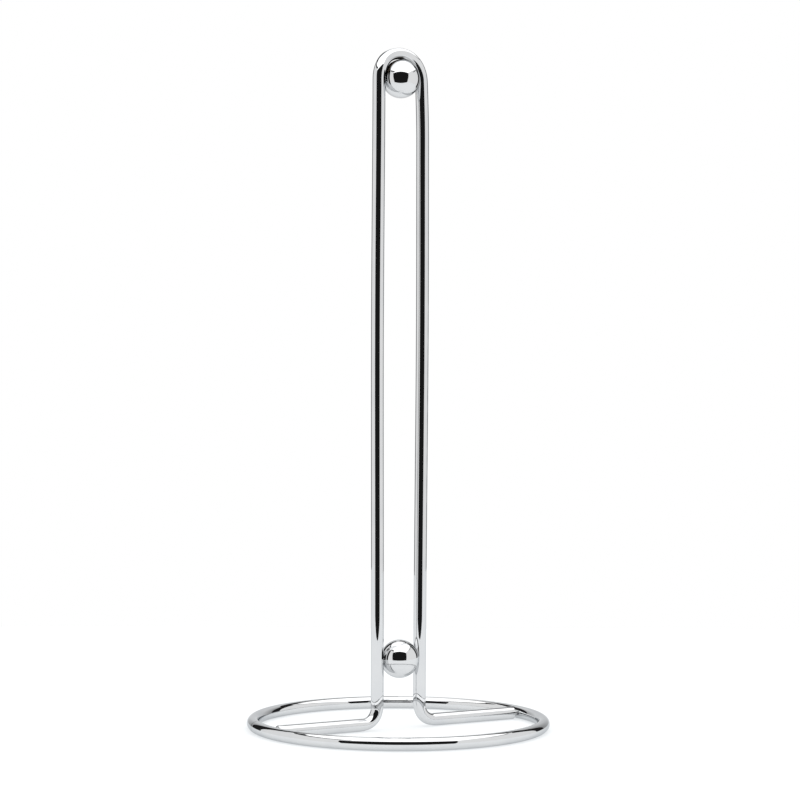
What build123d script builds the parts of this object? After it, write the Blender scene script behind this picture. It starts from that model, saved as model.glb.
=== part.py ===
"""Free-standing paper towel holder in chromed steel wire.

A ring of round wire stands on the table. A hairpin of the same wire rises from it: each leg
turns outwards at the bottom into a foot, and the two feet run along one diameter of the ring
and are butt-welded to its inside. Two steel balls are welded between the legs, one nested in
the hairpin's bend and one low down. Everything is welded, so nothing moves.

Millimetres, +Z up, origin on the table at the ring's centre. The hairpin lies in the XZ plane.
"""

import os
from math import cos, degrees, radians, sin

from build123d import *

# Driving dimensions
wire_diameter = 6.35  # drawn round wire, the same stock for the ring and the upright
ring_outer_diameter = 150.0  # base ring, measured over the wire
overall_height = 336.5  # table to the top of the hairpin's bend
ball_diameter = 19.05  # both steel balls
ball_set_in = 0.1  # how deep each weld sinks the wire into a ball
bottom_ball_height = 34.7  # table to the centre of the bottom ball
foot_bend_inside_radius = 3.2  # inside of the bend between a leg and its foot
foot_set_in = 0.5  # how deep a foot's square end is forged into the ring
foot_weld_reach = 1.2  # length of the weld bead along a foot
foot_weld_swell = 0.25  # how far the bead stands proud of the wire
foot_weld_clearance = 0.4  # underside of the bead above the table
ball_weld_radius = 2.5  # weld collar round each contact of a ball and a leg
seam_weld_width = 1.5  # weld that closes the ring, along the wire
seam_angle = 166.0  # place of that weld round the ring, in degrees from +X

# Sizes that follow from them
wire_radius = wire_diameter / 2
ball_radius = ball_diameter / 2
ring_radius = ring_outer_diameter / 2 - wire_radius  # to the wire's centreline
ring_inside_radius = ring_radius - wire_radius
hairpin_inside_radius = ball_radius - ball_set_in  # the hairpin is bent to fit the ball
leg_offset = hairpin_inside_radius + wire_radius  # hairpin's centre plane to a leg's centreline
hairpin_centre_height = overall_height - wire_radius - leg_offset
foot_bend_radius = foot_bend_inside_radius + wire_radius  # to the wire's centreline
foot_tip = ring_inside_radius + foot_set_in
seam_arc = degrees(seam_weld_width / ring_radius)


def ring_section_plane(angle):
    """The upright plane through the ring's axis at an angle from +X."""
    return Plane(
        origin=(0, 0, 0),
        x_dir=(cos(radians(angle)), sin(radians(angle)), 0),
        z_dir=(sin(radians(angle)), -cos(radians(angle)), 0),
    )


# Base ring: one length of wire rolled into a hoop, open by the width of its seam weld
with BuildPart() as base_ring:
    with BuildSketch(ring_section_plane(seam_angle + seam_arc / 2)):
        with Locations((ring_radius, wire_radius)):
            Circle(wire_radius)
    revolve(axis=Axis.Z, revolution_arc=360 - seam_arc)

# Seam weld: closes the hoop, ground flush with the wire before plating
with BuildPart() as ring_seam_weld:
    with BuildSketch(ring_section_plane(seam_angle - seam_arc / 2)):
        with Locations((ring_radius, wire_radius)):
            Circle(wire_radius)
    revolve(axis=Axis.Z, revolution_arc=seam_arc)

# Upright: one wire bent into a hairpin with two feet, whose square ends are forged into the ring
with BuildPart() as upright_wire:
    with BuildLine(Plane.XZ) as upright_centreline:
        foot = Line((foot_tip, wire_radius), (leg_offset + foot_bend_radius, wire_radius))
        foot_bend = RadiusArc(
            foot @ 1, (leg_offset, wire_radius + foot_bend_radius), foot_bend_radius
        )
        leg = Line(foot_bend @ 1, (leg_offset, hairpin_centre_height))
        RadiusArc(leg @ 1, (0, hairpin_centre_height + leg_offset), -leg_offset)
        mirror(about=Plane.YZ)
    with BuildSketch(Plane((foot_tip, 0, wire_radius), x_dir=(0, 1, 0), z_dir=(-1, 0, 0))):
        Circle(wire_radius)
    sweep(path=upright_centreline.wire())
    add(base_ring.part, mode=Mode.SUBTRACT)

# Balls: solid steel, dimpled where the wire was forged into them
ball_heights = {"top_ball": hairpin_centre_height, "bottom_ball": bottom_ball_height}
balls = {}
for name, height in ball_heights.items():
    with BuildPart() as ball:
        with Locations((0, 0, height)):
            Sphere(ball_radius, rotation=(0, 0, 90))
        add(upright_wire.part, mode=Mode.SUBTRACT)
    balls[name] = ball

# Foot welds: a bead round the end of each foot that runs into the ring, kept off the table
foot_welds = {}
for name, side in (("right_foot_weld", 1), ("left_foot_weld", -1)):
    with BuildPart() as foot_weld:
        with BuildSketch(Plane.XZ):
            with BuildLine():
                toe = (side * (foot_tip - foot_weld_reach), wire_radius * 2)
                crown = (side * foot_tip, wire_radius * 2 + foot_weld_swell)
                root = (side * ring_radius, wire_radius * 2 - foot_weld_swell)
                Spline(toe, crown, root)
                Polyline(root, (root[0], wire_radius), (toe[0], wire_radius), toe)
            make_face()
        revolve(axis=Axis((0, 0, wire_radius), (1, 0, 0)))
        split(bisect_by=Plane.XY.offset(foot_weld_clearance), keep=Keep.TOP)
        add(upright_wire.part, mode=Mode.SUBTRACT)
        add(base_ring.part, mode=Mode.SUBTRACT)
    foot_welds[name] = foot_weld

# Ball welds: the collar of upset metal round each contact between a ball and a leg
ball_welds = {}
for ball_name, height in ball_heights.items():
    for side_name, side in (("left", -1), ("right", 1)):
        with BuildPart() as ball_weld:
            with Locations((side * hairpin_inside_radius, 0, height)):
                Cylinder(ball_weld_radius, wire_radius, rotation=(0, 90, 0))
            add(balls[ball_name].part, mode=Mode.SUBTRACT)
            add(upright_wire.part, mode=Mode.SUBTRACT)
        ball_welds[f"{ball_name}_{side_name}_weld"] = ball_weld

# Each piece is written under its own name
pieces = {
    "base_ring": base_ring,
    "ring_seam_weld": ring_seam_weld,
    "upright_wire": upright_wire,
    **balls,
    **foot_welds,
    **ball_welds,
}
os.makedirs("parts", exist_ok=True)
for name, piece in pieces.items():
    piece.part.label = name
    export_step(piece.part, f"parts/{name}.step")
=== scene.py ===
"""Free-standing paper towel holder in chromed steel wire, dressed over its CAD frame.

Metres, +Z up, origin on the table at the ring's centre. The hairpin lies in the XZ plane and its
feet run along X. Everything is welded together, so every piece rides on the one body.
"""

from math import cos, pi, radians, sin

import bmesh
import bpy
import numpy as np
from mathutils import Matrix, Vector, noise


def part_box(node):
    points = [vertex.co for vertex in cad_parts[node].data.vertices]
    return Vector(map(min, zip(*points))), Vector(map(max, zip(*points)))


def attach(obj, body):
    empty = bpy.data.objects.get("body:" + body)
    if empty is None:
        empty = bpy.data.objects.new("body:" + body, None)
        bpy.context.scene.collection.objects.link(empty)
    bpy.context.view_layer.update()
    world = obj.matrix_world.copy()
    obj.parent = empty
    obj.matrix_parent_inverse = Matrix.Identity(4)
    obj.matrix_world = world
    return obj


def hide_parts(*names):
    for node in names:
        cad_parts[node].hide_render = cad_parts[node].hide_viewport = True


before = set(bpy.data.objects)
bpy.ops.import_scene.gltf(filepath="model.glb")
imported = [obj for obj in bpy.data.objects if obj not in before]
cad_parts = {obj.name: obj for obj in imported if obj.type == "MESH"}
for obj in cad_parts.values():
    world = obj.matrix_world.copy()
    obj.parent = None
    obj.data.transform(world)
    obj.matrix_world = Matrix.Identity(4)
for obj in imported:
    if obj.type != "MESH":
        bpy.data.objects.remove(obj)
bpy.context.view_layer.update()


# Base ring
# One length of bright drawn steel wire, rolled into a hoop and closed by a butt weld at the rear
# left. It was polished along its length, then nickel and chrome plated. It stands on the table.
ring_low, ring_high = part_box("base_ring")
wire_radius = (ring_high.z - ring_low.z) / 2
ring_radius = (ring_high.x - ring_low.x) / 2 - wire_radius
ring_waver = 0.00009  # how far the rolled hoop strays inwards from a true circle
ring_waves = ((2, 1.0, 0.6), (5, 0.5, 2.1), (11, 0.3, 0.0))  # its waves: count, height and offset
ring_steps = 480  # places along the hoop, each with a ring of corners
wire_sides = 64  # corners round the wire
seam_angle = radians(166)
seam_width = 0.0015


def wire_piece(name, centres, outward, upward, radii):
    """A closed mesh of round wire, with a ring of vertices round each point of its centreline.

    Its wire_run map holds metres along the wire and metres round it.
    """
    count = len(centres)
    turns = np.arange(wire_sides) * 2 * pi / wire_sides
    spokes = outward[:, None] * np.cos(turns)[:, None] + upward[:, None] * np.sin(turns)[:, None]
    corners = (centres[:, None] + spokes * radii[..., None]).reshape(-1, 3)
    along = np.concatenate([[0], np.cumsum(np.linalg.norm(np.diff(centres, axis=0), axis=1))])
    around = np.arange(wire_sides + 1) * 2 * pi * wire_radius / wire_sides
    faces, run = [], []
    for i in range(count - 1):
        for j in range(wire_sides):
            k = (j + 1) % wire_sides
            near, far = i * wire_sides, (i + 1) * wire_sides
            faces.append((near + j, near + k, far + k, far + j))
            run += [(along[i], around[j]), (along[i], around[j + 1])]
            run += [(along[i + 1], around[j + 1]), (along[i + 1], around[j])]
    faces.append(tuple(range(wire_sides))[::-1])
    faces.append(tuple(range((count - 1) * wire_sides, count * wire_sides)))
    run += [(along[0], around[j]) for j in range(wire_sides)][::-1]
    run += [(along[-1], around[j]) for j in range(wire_sides)]
    mesh = bpy.data.meshes.new(name)
    mesh.from_pydata(corners.tolist(), [], faces)
    mesh.uv_layers.new(name="wire_run").data.foreach_set("uv", np.array(run).ravel())
    mesh.shade_smooth()
    mesh.set_sharp_from_angle(angle=radians(45))
    piece = bpy.data.objects.new(name, mesh)
    bpy.context.collection.objects.link(piece)
    return piece


def hoop(name, start, end, steps, radii):
    """A stretch of the ring's wire between two angles, run clockwise."""
    angles = np.linspace(start, end, steps)
    flat = np.zeros(steps)
    outward = np.stack([np.cos(angles), np.sin(angles), flat], 1)
    stray = sum(height * np.sin(count * angles + offset) for count, height, offset in ring_waves)
    most = sum(height for _, height, _ in ring_waves)
    centres = outward * (ring_radius - ring_waver * (stray + most) / (2 * most))[:, None]
    centres[:, 2] = wire_radius
    upward = np.tile((0.0, 0.0, 1.0), (steps, 1))
    return wire_piece(name, centres, outward, upward, np.broadcast_to(radii, (steps, wire_sides)))


def plating_group():
    """Bright plate over polished steel: clouding, polishing lines, faint peel and sparse pits."""
    group = bpy.data.node_groups.new("plated_surface", "ShaderNodeTree")
    for socket, way, kind in (
        ("Place", "INPUT", "NodeSocketVector"),
        ("Lay", "INPUT", "NodeSocketVector"),
        ("Bright", "INPUT", "NodeSocketColor"),
        ("Clouded", "INPUT", "NodeSocketColor"),
        ("Smooth", "INPUT", "NodeSocketFloat"),
        ("Smudged", "INPUT", "NodeSocketFloat"),
        ("Pitted", "INPUT", "NodeSocketFloat"),
        ("Color", "OUTPUT", "NodeSocketColor"),
        ("Roughness", "OUTPUT", "NodeSocketFloat"),
        ("Height", "OUTPUT", "NodeSocketFloat"),
    ):
        group.interface.new_socket(socket, in_out=way, socket_type=kind)

    nodes, links = group.nodes, group.links
    given = nodes.new("NodeGroupInput")
    result = nodes.new("NodeGroupOutput")

    def grain(vector, scale, detail):
        """Noise from 0 to 1 over a vector, with about scale lumps to the metre."""
        node = nodes.new("ShaderNodeTexNoise")
        node.inputs["Scale"].default_value = scale
        node.inputs["Detail"].default_value = detail
        links.new(vector, node.inputs["Vector"])
        return node.outputs["Fac"]

    def spread(value, low, high, to_low, to_high):
        """A value stretched from one range to another and held inside it."""
        node = nodes.new("ShaderNodeMapRange")
        for socket, number in zip(("From Min", "From Max"), (low, high)):
            node.inputs[socket].default_value = number
        for socket, bound in zip(("To Min", "To Max"), (to_low, to_high)):
            if isinstance(bound, (int, float)):
                node.inputs[socket].default_value = bound
            else:
                links.new(bound, node.inputs[socket])
        links.new(value, node.inputs["Value"])
        return node.outputs["Result"]

    def sum_up(operation, first, second):
        """One operation on two values, each a number or a socket."""
        node = nodes.new("ShaderNodeMath")
        node.operation = operation
        for socket, value in zip(node.inputs, (first, second)):
            if isinstance(value, (int, float)):
                socket.default_value = value
            else:
                links.new(value, socket)
        return node.outputs["Value"]

    cloud = spread(grain(given.outputs["Place"], scale=70, detail=5), 0.42, 0.72, 0.0, 1.0)
    smear = spread(grain(given.outputs["Place"], scale=130, detail=3), 0.5, 0.75, 0.0, 1.0)
    peel = grain(given.outputs["Place"], scale=520, detail=2)

    lines_along, lines_across = 14, 2400  # polishing lines to the metre
    stretch = nodes.new("ShaderNodeMapping")
    stretch.inputs["Scale"].default_value = (lines_along, lines_across, lines_across)
    links.new(given.outputs["Lay"], stretch.inputs["Vector"])
    lines = grain(stretch.outputs["Vector"], scale=1, detail=3)

    pit_cells = 210  # cells to the metre, with one pit in each of those chosen
    pit_floor, pit_rim = 0.035, 0.06  # radii of a pit as shares of its cell
    cells = nodes.new("ShaderNodeTexVoronoi")
    cells.inputs["Scale"].default_value = pit_cells
    links.new(given.outputs["Place"], cells.inputs["Vector"])
    chance = nodes.new("ShaderNodeSeparateColor")
    links.new(cells.outputs["Color"], chance.inputs["Color"])
    chosen = sum_up("LESS_THAN", chance.outputs["Red"], given.outputs["Pitted"])
    hollow = spread(cells.outputs["Distance"], pit_floor, pit_rim, 1.0, 0.0)
    pits = sum_up("MULTIPLY", hollow, chosen)

    cloud_share = 0.6  # how far a full cloud goes to the clouded colour
    tone = nodes.new("ShaderNodeMix")
    tone.data_type = "RGBA"
    clouding = sum_up("MULTIPLY", cloud, cloud_share)
    links.new(sum_up("MAXIMUM", clouding, pits), tone.inputs["Factor"])
    links.new(given.outputs["Bright"], tone.inputs["A"])
    links.new(given.outputs["Clouded"], tone.inputs["B"])
    links.new(tone.outputs["Result"], result.inputs["Color"])

    line_matt, pit_matt = 0.004, 0.4  # roughness that the lines and the pits add
    matt = spread(smear, 0.0, 1.0, given.outputs["Smooth"], given.outputs["Smudged"])
    matt = sum_up("ADD", matt, spread(lines, 0.35, 0.7, 0.0, line_matt))
    matt = sum_up("ADD", matt, sum_up("MULTIPLY", pits, pit_matt))
    links.new(matt, result.inputs["Roughness"])

    peel_height, line_height, pit_depth = 0.5, 0.25, 2.0  # their shares of the relief
    relief = sum_up("MULTIPLY", peel, peel_height)
    relief = sum_up("ADD", relief, sum_up("MULTIPLY", lines, line_height))
    relief = sum_up("SUBTRACT", relief, sum_up("MULTIPLY", pits, pit_depth))
    links.new(relief, result.inputs["Height"])
    return group


plated_surface = plating_group()
plate_edge = (0.68, 0.695, 0.71)  # colour of the plate at a glancing angle
crevice_shade_colour = (0.04, 0.03, 0.022)  # colour of the painted shade in the crevices between wire and ball


def plated(name, bright, clouded, smooth, smudged, pitted, relief, lay_map=None, fineness=1):
    """Chrome plate; lay_map names the map whose first axis the polishing follows.

    A higher fineness makes the clouds and pits smaller. Where a mesh's crevice_shade value is 1,
    the colour is painted shade, dark brown, for the crevices between wire and ball.
    """
    material = bpy.data.materials.new(name)
    material.use_nodes = True
    nodes, links = material.node_tree.nodes, material.node_tree.links
    shader = nodes["Principled BSDF"]
    shader.inputs["Metallic"].default_value = 1.0
    shader.inputs["Specular Tint"].default_value = (*plate_edge, 1)
    surface = nodes.new("ShaderNodeGroup")
    surface.node_tree = plated_surface
    place = nodes.new("ShaderNodeTexCoord")
    scaled = nodes.new("ShaderNodeVectorMath")
    scaled.operation = "SCALE"
    scaled.inputs["Scale"].default_value = fineness
    links.new(place.outputs["Object"], scaled.inputs[0])
    links.new(scaled.outputs["Vector"], surface.inputs["Place"])
    if lay_map:
        lay = nodes.new("ShaderNodeUVMap")
        lay.uv_map = lay_map
        links.new(lay.outputs["UV"], surface.inputs["Lay"])
    else:
        links.new(place.outputs["Object"], surface.inputs["Lay"])
    surface.inputs["Bright"].default_value = (*bright, 1)
    surface.inputs["Clouded"].default_value = (*clouded, 1)
    surface.inputs["Smooth"].default_value = smooth
    surface.inputs["Smudged"].default_value = smudged
    surface.inputs["Pitted"].default_value = pitted
    bump = nodes.new("ShaderNodeBump")
    bump.inputs["Distance"].default_value = relief
    bump.inputs["Strength"].default_value = 0.5
    links.new(surface.outputs["Height"], bump.inputs["Height"])
    # Painted shade: where a mesh's crevice_shade value is 1, the mix below paints the colour dark
    # brown, for the crevices between wire and ball.
    crevice_shade_mask = nodes.new("ShaderNodeAttribute")
    crevice_shade_mask.attribute_name = "crevice_shade"
    steel = nodes.new("ShaderNodeMix")
    steel.data_type = "RGBA"
    links.new(crevice_shade_mask.outputs["Fac"], steel.inputs["Factor"])
    links.new(surface.outputs["Color"], steel.inputs["A"])
    steel.inputs["B"].default_value = (*crevice_shade_colour, 1)
    links.new(steel.outputs["Result"], shader.inputs["Base Color"])
    links.new(surface.outputs["Roughness"], shader.inputs["Roughness"])
    links.new(bump.outputs["Normal"], shader.inputs["Normal"])
    return material


chromed_wire = plated(
    "chromed_wire",
    bright=(0.69, 0.695, 0.7),
    clouded=(0.63, 0.64, 0.655),
    smooth=0.01,
    smudged=0.022,
    pitted=0.04,
    relief=0.000004,
    lay_map="wire_run",
)
seam_half = seam_width / 2 / ring_radius
base_ring = hoop(
    "ring_wire", seam_angle - seam_half, seam_angle + seam_half - 2 * pi, ring_steps, wire_radius
)
base_ring.data.materials.append(chromed_wire)
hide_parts("base_ring")
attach(base_ring, "root")


# Ring seam weld
# The resistance weld that joins the wire's two ends into a hoop. Its flash was ground away before
# plating, which leaves a shallow, slightly rough band that goes once round the wire.
seam_hollow = 0.00005  # how deep the grinding went
seam_uneven = 0.3  # share by which its depth varies round the wire
seam_lobes = 7
seam_steps = 9
plated_weld = plated(
    "plated_weld",
    bright=(0.58, 0.58, 0.58),
    clouded=(0.12, 0.115, 0.11),
    smooth=0.08,
    smudged=0.3,
    pitted=0.35,
    relief=0.00006,
    fineness=4,
)
seam_bed = np.sin(np.linspace(0, pi, seam_steps))[:, None]
seam_waves = np.sin(np.arange(wire_sides) * 2 * pi / wire_sides * seam_lobes)
seam_ripple = 1 - seam_uneven + seam_uneven * seam_waves
seam_weld = hoop(
    "ring_seam",
    seam_angle + seam_half,
    seam_angle - seam_half,
    seam_steps,
    wire_radius - seam_hollow * seam_bed * seam_ripple,
)
seam_weld.data.materials.append(plated_weld)
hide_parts("ring_seam_weld")
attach(seam_weld, "root")


# Upright wire
# One length of the same wire, bent cold into a hairpin that a roll's core drops over. Each leg
# turns outwards at the bottom into a foot, and the feet's square ends are welded to the ring.
_, upright_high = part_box("upright_wire")
top_ball_low, top_ball_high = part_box("top_ball")
hairpin_height = (top_ball_low.z + top_ball_high.z) / 2  # centre of the bend
leg_offset = upright_high.z - wire_radius - hairpin_height  # centreline to the hairpin's middle
foot_bend_radius = 0.008
foot_gap = 0.0009  # between a foot's end and the ring, bridged by the weld's lip
foot_tip = ring_radius - wire_radius - foot_gap
foot_end_rounding = 0.0006  # the cut end's edge, upset under the welding press
foot_end_rows = 8  # places along that edge, each with a ring of corners
leg_draw = 0.00047  # how far each leg is pulled in at the bottom ball
draw_end = 1.1  # share of the leg's length over which that pull dies away
leg_bow = 0.00048  # how far it springs out again above its middle
bow_rise = 1.3  # above 1, the middle of that bow lies above the leg's
bend_flattening = 0.015  # share of the wire's thickness that a bend squeezes out
shoulder_slack = 0.0002  # how far the hairpin's right shoulder falls short of a true round
slack_start, slack_end = -20, 90  # where it does, in degrees from +X
shoulder_squareness = 2.9  # outside of the section where the roll pressed it; 2 is round
shoulder_press = 0.035  # share of the wire's radius that the roll took off there
press_turn = (5, 158, 45, 28)  # where it did: start and end in degrees from +X, and their easing
bend_lean = 0.002  # how far the top of the bend sprang back out of the legs' plane
lean_left, lean_right = 0.0198, 0.05  # lengths of wire over which that lean dies away
bend_pinch = 0.17  # share of the radius by which the former dented the inside of the bend
pinch_turn = (15, 170, 45, 40)  # where it did, likewise
foot_bend_thinning = 0.1  # share of the radius that the outside of a foot's bend draws in
scuff_low, scuff_high = 0.1, 0.225  # stretch of the right leg that was scuffed on the plating rack
scuff_fade = 0.01  # how softly that stretch ends
scuff_turn = radians(290)  # place of the scuff round the wire
scuff_width = radians(7)
scuff_depth = 0.00009
scuff_spacing = 0.0045  # about how far apart its marks are
scuff_contrast = 2.4  # how sharply they stand out
wire_crevice = (78, 172)  # where the crevice's painted shade lies inside the bend, in degrees from +X
crevice_fade = 8  # how softly that ends, in degrees
facing_start, facing_fade = 0.35, 0.2  # how much the wire's skin faces the ball there, as a cosine


def bend(centre_x, centre_z, radius, start, end, steps):
    """Points on an arc in the hairpin's plane, angles in degrees from +X towards +Z."""
    angles = np.radians(np.linspace(start, end, steps))
    return np.stack([centre_x + radius * np.cos(angles), centre_z + radius * np.sin(angles)], 1)


def straight(start, end, step):
    """Points between two ends, without the ends themselves."""
    start, end = np.array(start), np.array(end)
    steps = max(2, round(np.linalg.norm(end - start) / step))
    return start + (end - start) * np.arange(1, steps)[:, None] / steps


def leaned(from_top):
    """How far the hairpin leans back, at a length along its wire from the top, left counted up."""
    fade = np.abs(from_top) / np.where(from_top < 0, lean_right, lean_left)
    return bend_lean * np.cos(pi / 2 * np.minimum(fade, 1)) ** 2


def lumps(points, size, seed):
    """Uneven swelling from -1 to 1 over points, with lumps about size across."""
    flat = points.reshape(-1, 3) / size + seed
    return np.array([noise.noise(Vector(point)) for point in flat]).reshape(points.shape[:-1])


def between(angles, start, end):
    """1 between two angles in degrees, 0 outside them, with soft ends."""
    return np.clip(np.minimum(angles - start, end - angles) / crevice_fade, 0, 1)


def eased(angles, start, end, rise, fall):
    """1 between two angles in degrees, 0 outside them, eased in over rise and out over fall."""
    share = np.clip(np.minimum((angles - start) / rise, (end - angles) / fall), 0, 1)
    return share**2 * (3 - 2 * share)


def set_crevice_shade(mesh, values):
    """Marks where painted shade darkens a crevice, with one value for each corner of the mesh."""
    marks = mesh.attributes.new("crevice_shade", "FLOAT", "POINT")
    marks.data.foreach_set("value", np.ravel(values))


end_shares = np.sin(np.linspace(pi / 2, 0, foot_end_rows))
foot_edge = foot_tip - foot_end_rounding
foot_bend_x = leg_offset + foot_bend_radius
foot_bend_z = wire_radius + foot_bend_radius
half_line = np.concatenate(
    [
        [(foot_tip - foot_end_rounding * (1 - share), wire_radius) for share in end_shares],
        straight((foot_edge, wire_radius), (foot_bend_x, wire_radius), step=0.002),
        bend(foot_bend_x, foot_bend_z, foot_bend_radius, start=270, end=180, steps=19),
        straight((leg_offset, foot_bend_z), (leg_offset, hairpin_height), step=0.001),
        bend(0, hairpin_height, leg_offset, start=0, end=90, steps=31),
    ]
)

# The legs are drawn in at the foot and bow out above it, and the left half mirrors the right
leg_share = np.clip((half_line[:, 1] - foot_bend_z) / (hairpin_height - foot_bend_z), 0, 1)
leg_set = leg_bow * np.sin(pi * leg_share**bow_rise) ** 2
leg_set -= leg_draw * (draw_end - leg_share) / draw_end
foot_share = np.clip((foot_tip - half_line[:, 0]) / (foot_tip - foot_bend_x), 0, 1)
half_line[:, 0] += leg_set * foot_share * np.clip(half_line[:, 0] / leg_offset, 0, 1)
whole_line = np.concatenate([half_line, half_line[-2::-1] * (-1, 1)])
upright_line = np.stack([whole_line[:, 0], np.zeros(len(whole_line)), whole_line[:, 1]], 1)

# The bend falls short at its right shoulder and leans back
bend_arm = upright_line - (0, 0, hairpin_height)
bend_turn = np.degrees(np.arctan2(bend_arm[:, 2], bend_arm[:, 0]))
slack_share = np.clip((bend_turn - slack_start) / (slack_end - slack_start), 0, 1)
slack = shoulder_slack * np.sin(pi * slack_share) ** 2
upright_line -= bend_arm * (slack / np.linalg.norm(bend_arm, axis=1))[:, None]
wire_steps = np.linalg.norm(np.diff(upright_line, axis=0), axis=1)
from_top = np.concatenate([[0], np.cumsum(wire_steps)])
upright_line[:, 1] += leaned(from_top - from_top[len(half_line) - 1])
heading = np.gradient(upright_line, axis=0)
heading /= np.linalg.norm(heading, axis=1)[:, None]
in_plane = np.cross((0.0, 1.0, 0.0), heading)
in_plane /= np.linalg.norm(in_plane, axis=1)[:, None]
sideways = np.cross(heading, in_plane)
turning = np.linalg.norm(np.gradient(heading, axis=0), axis=1)
turning /= turning.max()

# The section is pressed and dented in the bend, and drawn thin on the outside of the foot bends
turns = np.arange(wire_sides) * 2 * pi / wire_sides
outer, flank = np.maximum(np.cos(turns), 0), np.abs(np.sin(turns))
squared = (outer**shoulder_squareness + flank**shoulder_squareness) ** (-1 / shoulder_squareness)
squared = np.where(outer > 0, squared * (1 - shoulder_press * outer**2), 1)
pressed = eased(bend_turn, *press_turn)[:, None]
upright_skin = wire_radius * (1 - bend_flattening * turning[:, None] * np.cos(turns) ** 2)
upright_skin *= 1 - pressed + pressed * squared
pinched = eased(bend_turn, *pinch_turn)[:, None]
upright_skin *= 1 - bend_pinch * pinched * np.minimum(np.cos(turns), 0) ** 2
low_bend = turning * (upright_line[:, 2] < 2 * foot_bend_z)
upright_skin *= 1 - foot_bend_thinning * low_bend[:, None] * np.minimum(np.cos(turns), 0) ** 2

# Scuffs on the right leg, and the rounded edges of the feet's ends
level = upright_line[:, 2]
right_leg = upright_line[:, 0] > 0
scuffed = np.clip(scuff_contrast * lumps(upright_line, scuff_spacing, seed=7.3), 0, 1)
scuffed *= np.clip(np.minimum(level - scuff_low, scuff_high - level) / scuff_fade, 0, 1)
scuffed *= right_leg
across = np.exp(-(((turns - scuff_turn) / scuff_width) ** 2))
upright_skin -= scuff_depth * scuffed[:, None] * across
from_end = np.clip(1 - (foot_tip - np.abs(upright_line[:, 0])) / foot_end_rounding, 0, 1)
upright_skin -= foot_end_rounding * (1 - np.sqrt(1 - from_end**2))[:, None]
upright = wire_piece("upright", upright_line, in_plane, sideways, upright_skin)
facing_ball = np.clip((-np.cos(turns) - facing_start) / facing_fade, 0, 1)
# Painted shade in the crevice where the wire faces the top ball inside the bend.
set_crevice_shade(upright.data, between(bend_turn, *wire_crevice)[:, None] * facing_ball)
upright.data.materials.append(chromed_wire)
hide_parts("upright_wire")
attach(upright, "root")


# Balls
# Two polished steel bearing balls, welded between the legs before plating: one nested in the bend
# and one low down. The wire has pressed a shallow groove into each of them.
ball_radius = (top_ball_high.z - top_ball_low.z) / 2
bottom_ball_low, bottom_ball_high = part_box("bottom_ball")
ball_heights = {
    "top_ball": hairpin_height,
    "bottom_ball": (bottom_ball_low.z + bottom_ball_high.z) / 2,
}
ball_shifts = {  # how far each ball was welded off its true place
    "top_ball": (-0.0001, 0.0, 0.0003),
    "bottom_ball": (0.0003, -0.0004, 0.0),
}
ball_crevice = (130, 172)  # where the crevice's painted shade lies on the top ball, in degrees from +X
crevice_gap, crevice_edge = 0.001, 0.0003  # how narrow the crevice is there, and how softly it ends
ball_panels = 40  # squares along each side of the six panels that a ball is laid out in
chromed_ball = plated(
    "chromed_ball",
    bright=(0.7, 0.705, 0.71),
    clouded=(0.65, 0.66, 0.67),
    smooth=0.01,
    smudged=0.022,
    pitted=0.03,
    relief=0.000003,
)


def seal(mesh):
    """Joins corners that coincide and turns every face outwards."""
    shell = bmesh.new()
    shell.from_mesh(mesh)
    bmesh.ops.remove_doubles(shell, verts=shell.verts, dist=1e-7)
    bmesh.ops.recalc_face_normals(shell, faces=shell.faces)
    shell.to_mesh(mesh)
    shell.free()
    mesh.shade_smooth()


def wire_reach(y):
    """How far the wire's inner surface is from the bend's centre, y off the hairpin's plane."""
    return leg_offset - np.sqrt(np.maximum(wire_radius**2 - y**2, 0))


def ball_piece(name, height, shift):
    """A ball laid out in six square panels, pressed back where the wire lies against it."""
    across = np.tan(np.linspace(-pi / 4, pi / 4, ball_panels + 1))
    first, second = np.meshgrid(across, across, indexing="ij")
    points, faces = [], []
    for axis in range(3):
        for side in (1, -1):
            panel = np.stack([np.full_like(first, side), first, second], -1)
            start = len(points) * (ball_panels + 1) ** 2
            points.append(np.roll(panel, axis, -1).reshape(-1, 3))
            for i in range(ball_panels):
                for j in range(ball_panels):
                    corner = start + i * (ball_panels + 1) + j
                    beyond = corner + ball_panels + 1
                    faces.append((corner, beyond, beyond + 1, corner + 1))
    points = np.concatenate(points)
    points *= ball_radius / np.linalg.norm(points, axis=1)[:, None]
    points += shift
    points[:, 2] += height
    rise = np.maximum(points[:, 2] - hairpin_height, 0)
    fall = np.maximum(hairpin_height - points[:, 2], 0)
    from_top = (np.arctan2(rise, points[:, 0]) - pi / 2) * leg_offset
    from_wire = points[:, 1] - leaned(from_top - np.sign(points[:, 0]) * fall)
    wire_skin, ball_skin = wire_reach(from_wire), np.hypot(points[:, 0], rise)
    press = np.minimum(1, wire_skin / np.maximum(ball_skin, 1e-6))
    narrow = np.clip((crevice_gap - (wire_skin - ball_skin)) / crevice_edge, 0, 1)
    turn = np.degrees(np.arctan2(rise, points[:, 0]))
    points[:, 0] *= press
    points[:, 2] -= rise * (1 - press)
    mesh = bpy.data.meshes.new(name)
    mesh.from_pydata(points.tolist(), [], faces)
    # Painted shade where the crevice between the ball and the wire is narrow.
    set_crevice_shade(mesh, between(turn, *ball_crevice) * narrow)
    seal(mesh)
    ball = bpy.data.objects.new(name, mesh)
    bpy.context.collection.objects.link(ball)
    return ball


for node, height in ball_heights.items():
    ball = ball_piece(f"steel_{node}", height, ball_shifts[node])
    ball.data.materials.append(chromed_ball)
    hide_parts(node)
    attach(ball, "root")


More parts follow.
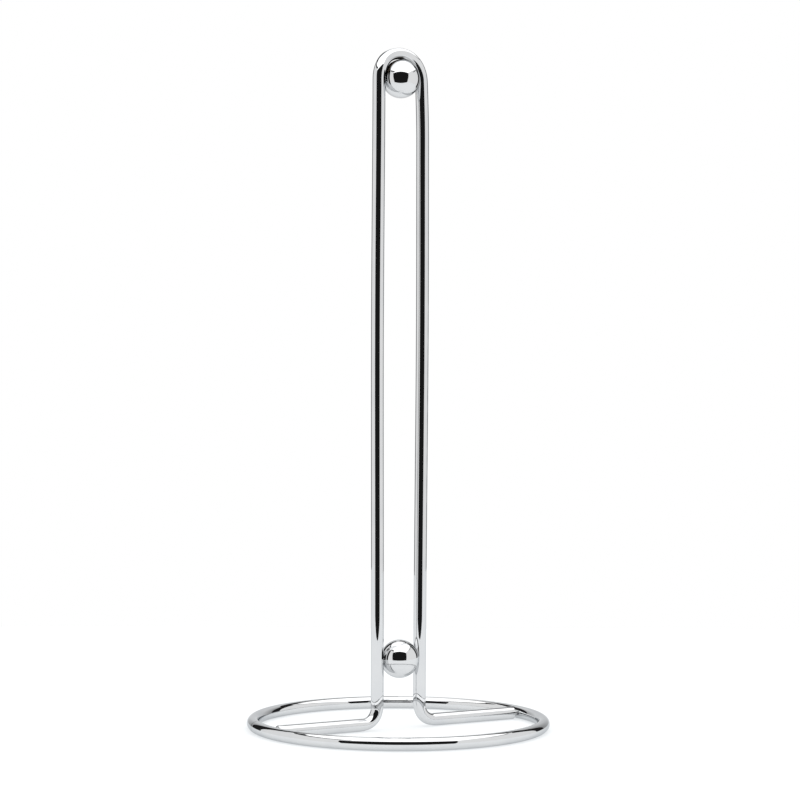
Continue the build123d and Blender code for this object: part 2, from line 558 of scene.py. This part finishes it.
# Foot welds
# A foot's end was forged into the ring under current, which squeezed out a low lip of metal round
# it. The lip was dressed by hand and plated over, so it is smooth on top and lumpy at the sides.
foot_lip_reach = 0.0009  # how far the lip goes back along the foot
foot_lip_sink = 0.0006  # how far the lip stays below the foot's own skin
foot_lip_root = ring_radius - 0.0024  # where the lip dives under the ring's skin
foot_lip_fall = 0.0012  # how far it drops on the way there
foot_lip_curve = 2.2  # how late it drops; 1 is evenly
foot_lip_depth = 0.0006  # how far its hollow core lies below the foot's skin
foot_lip_clearance = 0.0004  # its underside was ground off to keep it clear of the table
foot_lip_lump, foot_lip_lump_size = 0.00016, 0.0008  # height and size of its lumps
foot_lip_rows, foot_lip_sides = 25, 120  # corners along it and round it
blow_holes = (  # pits left in the side of the right foot's weld
    (0.0678, -0.0022, 0.0044),
    (0.0677, -0.0027, 0.0029),
    (0.0683, -0.0023, 0.0017),
)
blow_hole_size = 0.0007


def closed_band(name, loops):
    """A closed mesh from rows of points, each row a loop and the rows a loop themselves."""
    rows, count = loops.shape[:2]
    faces = []
    for i in range(rows):
        for j in range(count):
            near, far, k = i * count, (i + 1) % rows * count, (j + 1) % count
            faces.append((near + j, near + k, far + k, far + j))
    mesh = bpy.data.meshes.new(name)
    mesh.from_pydata(loops.reshape(-1, 3).tolist(), [], faces)
    seal(mesh)
    band = bpy.data.objects.new(name, mesh)
    bpy.context.collection.objects.link(band)
    return band


def foot_lip(name, side):
    """The lip round the end of one foot, from the foot's skin to the inside of the ring."""
    along = np.linspace(0, 1, foot_lip_rows)
    x = foot_tip - foot_lip_reach + (foot_lip_root - foot_tip + foot_lip_reach) * along
    skin = wire_radius - foot_lip_sink - foot_lip_fall * along**foot_lip_curve
    x = np.concatenate([x, x[[-1, 0]]])
    core = wire_radius - foot_lip_depth
    skin = np.concatenate([skin, [core - foot_lip_fall, core]])
    turns = np.arange(foot_lip_sides)[:, None] * 2 * pi / foot_lip_sides
    loops = np.stack(np.broadcast_arrays(side * x, skin * np.cos(turns), skin * np.sin(turns)), -1)
    loops[..., 2] += wire_radius
    swell = foot_lip_lump * lumps(loops, foot_lip_lump_size, seed=3.7 + side)
    for blow_hole in blow_holes:
        from_hole = np.linalg.norm(loops - blow_hole, axis=-1) / blow_hole_size
        swell -= blow_hole_size * np.exp(-(from_hole**2))
    swell[:, [0, -2, -1]] = 0
    loops[..., 1] += swell * np.cos(turns)
    loops[..., 2] += swell * np.sin(turns)
    loops[..., 2] = np.maximum(loops[..., 2], foot_lip_clearance)
    return closed_band(name, loops)


for node, side in (("left_foot_weld", -1), ("right_foot_weld", 1)):
    lip = foot_lip(node.replace("weld", "lip"), side)
    lip.data.materials.append(plated_weld)
    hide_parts(node)
    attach(lip, "root")


# Ball welds
# Each ball was held between the legs and spot welded at both contacts. A ragged collar of upset
# metal fills the crevice round each contact, too tight to polish, so the plate on it is dull.
collar_radius = 0.0013
collar_flare = 0.18  # share by which it widens to the ball and to the wire
collar_bite = 0.00005  # how deep the collar runs into the ball and the wire
collar_core = 0.45  # its hollow core, as a share of its radius
collar_lump, collar_lump_size = 0.12, 0.0016  # height of its lumps, as a share, and their size
collar_lump_circle = 0.002  # circle on which those lumps are drawn
collar_rows, collar_sides = 9, 48  # corners along it and round it


def weld_collar(name, side, height, shift):
    """The collar that fills the crevice between a ball and one leg."""
    turns = np.arange(collar_sides)[:, None] * 2 * pi / collar_sides
    share = np.linspace(0, 1, collar_rows)
    flare = 1 + collar_flare * (2 * share - 1) ** 2
    rim = np.stack(np.broadcast_arrays(np.cos(turns), np.sin(turns), 0 * turns), -1)
    rim *= collar_lump_circle
    uneven = collar_lump * lumps(rim + side, collar_lump_size, seed=height * 90)
    ragged = collar_radius * (1 + uneven)
    spread = np.concatenate([ragged * flare, ragged * (collar_core, collar_core)], 1)
    share = np.concatenate([share, (1, 0)])
    lean = leaned(side * (height - hairpin_height - leg_offset * pi / 2))
    y = spread * np.cos(turns) + lean * ball_radius / leg_offset
    z = spread * np.sin(turns)
    from_ball = (y - shift[1]) ** 2 + (z - shift[2]) ** 2
    ball_side = np.sqrt(ball_radius**2 - from_ball) + side * shift[0] - collar_bite
    rise = np.maximum(z + height - hairpin_height, 0)
    wire_side = np.sqrt(wire_reach(y - lean) ** 2 - rise**2) + collar_bite
    x = ball_side + (np.maximum(wire_side, ball_side + collar_bite) - ball_side) * share
    return closed_band(name, np.stack([side * x, y, z + height], -1))


for ball_name, height in ball_heights.items():
    for side_name, side in (("left", -1), ("right", 1)):
        collar = weld_collar(
            f"{ball_name}_{side_name}_collar", side, height, ball_shifts[ball_name]
        )
        collar.data.materials.append(plated_weld)
        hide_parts(f"{ball_name}_{side_name}_weld")
        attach(collar, "root")


# Table and tent
# A pale table top inside a white tent, whose roof is one large soft lamp. The rest is painted
# reflections, glowing sheets that only the plating sees: painted shade for the tent's front, open
# and dark round the lens, for its rear wall, greyer than its sides, and for its frame's dark gaps.
view_azimuth = radians(-30.76)
to_lens = Vector((sin(view_azimuth), -cos(view_azimuth), 0))
to_right = Vector((cos(view_azimuth), sin(view_azimuth), 0))
up = Vector((0, 0, 1))
table_front = 0.39
table_rear = 0.45
table_drop = 0.00005  # keeps its top just clear of the wire
ledge_drop = 0.04  # the tent's own floor, in front of the table and below it
ledge_front = 0.64
ledge_sag = 0.1  # how far its front edge curves forward to the sides, per metre squared
tent_front = 0.79
tent_side = 0.88
tent_rear = 0.9
tent_height = 0.94
tent_slack = 0.01  # between the tent and what hangs or ends at it
roof_left, roof_right, roof_rear = 0.74, 0.88, 0.6  # how far the roof's lamp reaches
opening_low, opening_high = 0.6, 0.93  # half widths of the tent's opening, at its foot and its top
opening_foot = -0.4
corner_reach, gap_reach = 0.88, 0.89  # how far the frame's posts and the gaps are from the holder
sheet_steps, wall_steps = 45, 25  # pairs of corners along a table top and along a wall


def studio_sheet(name, corners, material):
    """A flat or folded sheet from pairs of corners, left and right, and not part of the holder."""
    mesh = bpy.data.meshes.new(name)
    faces = [(i, i + 1, i + 3, i + 2) for i in range(0, len(corners) - 2, 2)]
    mesh.from_pydata([tuple(corner) for corner in corners], [], faces)
    mesh.materials.append(material)
    sheet = bpy.data.objects.new(name, mesh)
    bpy.context.collection.objects.link(sheet)
    return sheet


def painted_reflection(name, corners, *shades):
    """A painted reflection: a glowing sheet that only the plating sees, as bright as its shades
    from one end to the other.
    """
    material = bpy.data.materials.new(name)
    material.use_nodes = True
    nodes, links = material.node_tree.nodes, material.node_tree.links
    nodes.remove(nodes["Principled BSDF"])
    glow = nodes.new("ShaderNodeEmission")
    tone = nodes.new("ShaderNodeAttribute")
    tone.attribute_name = "shade"
    links.new(tone.outputs["Fac"], glow.inputs["Color"])
    links.new(glow.outputs["Emission"], nodes["Material Output"].inputs["Surface"])
    sheet = studio_sheet(name, corners, material)
    places = np.repeat(np.linspace(0, 1, len(corners) // 2), 2)
    values = np.interp(places, np.linspace(0, 1, len(shades)), shades)
    sheet.data.attributes.new("shade", "FLOAT", "POINT").data.foreach_set("value", values)
    sheet.visible_camera = False
    sheet.visible_diffuse = False
    sheet.visible_shadow = False
    sheet.visible_transmission = False
    return sheet


def spot(forward, right, height):
    """A place in the tent: forward to the lens, right as the lens sees it, and up."""
    return to_lens * forward + to_right * right + up * height


def on_wall(angle, reach, height):
    """A place on the tent's wall, its angle in degrees clockwise from the lens."""
    return spot(reach * cos(radians(angle)), reach * sin(radians(angle)), height)


def wall(start, end, low, high):
    """Pairs of corners along a curved stretch of wall, whose edges have a reach and a height."""
    angles = np.linspace(start, end, wall_steps)
    return [on_wall(angle, *edge) for angle in angles for edge in (low, high)]


def post(reach, *levels):
    """Pairs of corners up a leaning strip, each level a height and the angles of its two sides."""
    return [on_wall(angle, reach, height) for height, *sides in levels for angle in sides]


def sheet_top(front, sag, height):
    """Pairs of corners across a table top, from its straight rear edge to its front one."""
    corners = []
    for right in np.linspace(-tent_side, tent_side, sheet_steps):
        forward = min(front + sag * right**2, tent_front - tent_slack)
        corners += [spot(-table_rear, right, height), spot(forward, right, height)]
    return corners


table_white = bpy.data.materials.new("table_white")
table_white.use_nodes = True
table_shader = table_white.node_tree.nodes["Principled BSDF"]
table_shader.inputs["Base Color"].default_value = (0.33, 0.33, 0.33, 1)
table_shader.inputs["Roughness"].default_value = 0.9
table_shader.inputs["Specular IOR Level"].default_value = 0.0
table_shader.inputs["Emission Color"].default_value = (0.97, 1, 1.02, 1)
table_shader.inputs["Emission Strength"].default_value = 0.64
studio_sheet("table", sheet_top(table_front, 0, -table_drop), table_white)
studio_sheet("ledge", sheet_top(ledge_front, ledge_sag, -ledge_drop), table_white)
# Painted reflections: dark glowing sheets stand for the shade of the room beyond the tent's open
# front, of its frame's posts, of its gaps and of its seams.
painted_reflection(
    "front_opening",
    [
        spot(tent_front, side * half_width, height)
        for height, half_width in ((opening_foot, opening_low), (tent_height, opening_high))
        for side in (-1, 1)
    ],
    0.013,
)
# Painted shade: the rear wall's sheet darkens towards both ends, where light falls off into the
# tent's corners.
painted_reflection(
    "rear_wall",
    wall(132, 226, (tent_rear, 0), (tent_rear, 0.64)),
    *(0.25, 0.55, 0.9, 1, 1, 0.6, 0.25),
)
painted_reflection("right_corner", post(corner_reach, (0, 123, 137), (0.45, 124, 141), (0.75, 126, 150)), 0.02)
painted_reflection("right_rear_gap", wall(138, 180, (gap_reach, 0.6), (gap_reach, 0.9)), 0.03, 0.03, 0.12)
painted_reflection("right_seam", wall(88, 126, (gap_reach, 0.8), (gap_reach, 0.86)), 0.1)
painted_reflection("left_corner", post(corner_reach, (0, 222, 238), (0.4, 210, 234), (0.8, 198, 226)), 0.02)
painted_reflection("left_rear_gap", wall(190, 222, (gap_reach, 0.62), (gap_reach, 0.92)), 0.15, 0.03)
painted_reflection("left_seam", wall(222, 316, (0.86, 0.9), (roof_left, tent_height + tent_slack)), 0.02)

roof_glow = 0.9
roof_lamp = bpy.data.lights.new("roof_lamp", "AREA")
roof_lamp.shape = "RECTANGLE"
roof_lamp.size = roof_left + roof_right
roof_lamp.size_y = tent_front + roof_rear
roof_lamp.energy = roof_glow * pi * roof_lamp.size * roof_lamp.size_y
roof = bpy.data.objects.new("roof_lamp", roof_lamp)
roof.location = spot(
    (tent_front - roof_rear) / 2, (roof_right - roof_left) / 2, tent_height + 2 * tent_slack
)
roof.rotation_euler = (0, 0, view_azimuth)
roof.visible_camera = False
bpy.context.collection.objects.link(roof)

world = bpy.data.worlds.new("tent_white")
world.use_nodes = True
world.node_tree.nodes["Background"].inputs["Color"].default_value = (1, 1, 1, 1)
world.node_tree.nodes["Background"].inputs["Strength"].default_value = 1.0
bpy.context.scene.world = world
bpy.context.scene.view_settings.view_transform = "Standard"


# Camera
# A long lens 1.3 m away and a little above the holder's middle, turned so that the hairpin is seen
# from its left front.
lens_distance = 1.3
lens_length = 118.41
lens_elevation = radians(1.325)
lens_roll = radians(0.2487)
aim_right, aim_height = 0.00016, 0.1628
aim = to_right * aim_right + up * aim_height
back = to_lens * cos(lens_elevation) + up * sin(lens_elevation)
lens_up = back.cross(to_right)
lens_right = to_right * cos(lens_roll) + lens_up * sin(lens_roll)
lens_up = back.cross(lens_right)
lens = bpy.data.cameras.new("lens")
lens.sensor_width = 36
lens.lens = lens_length
lens.clip_start, lens.clip_end = 0.05, 20
camera = bpy.data.objects.new("camera", lens)
camera.matrix_world = Matrix.Translation(aim + back * lens_distance) @ Matrix(
    (lens_right, lens_up, back)
).transposed().to_4x4()
bpy.context.collection.objects.link(camera)
bpy.context.scene.camera = camera
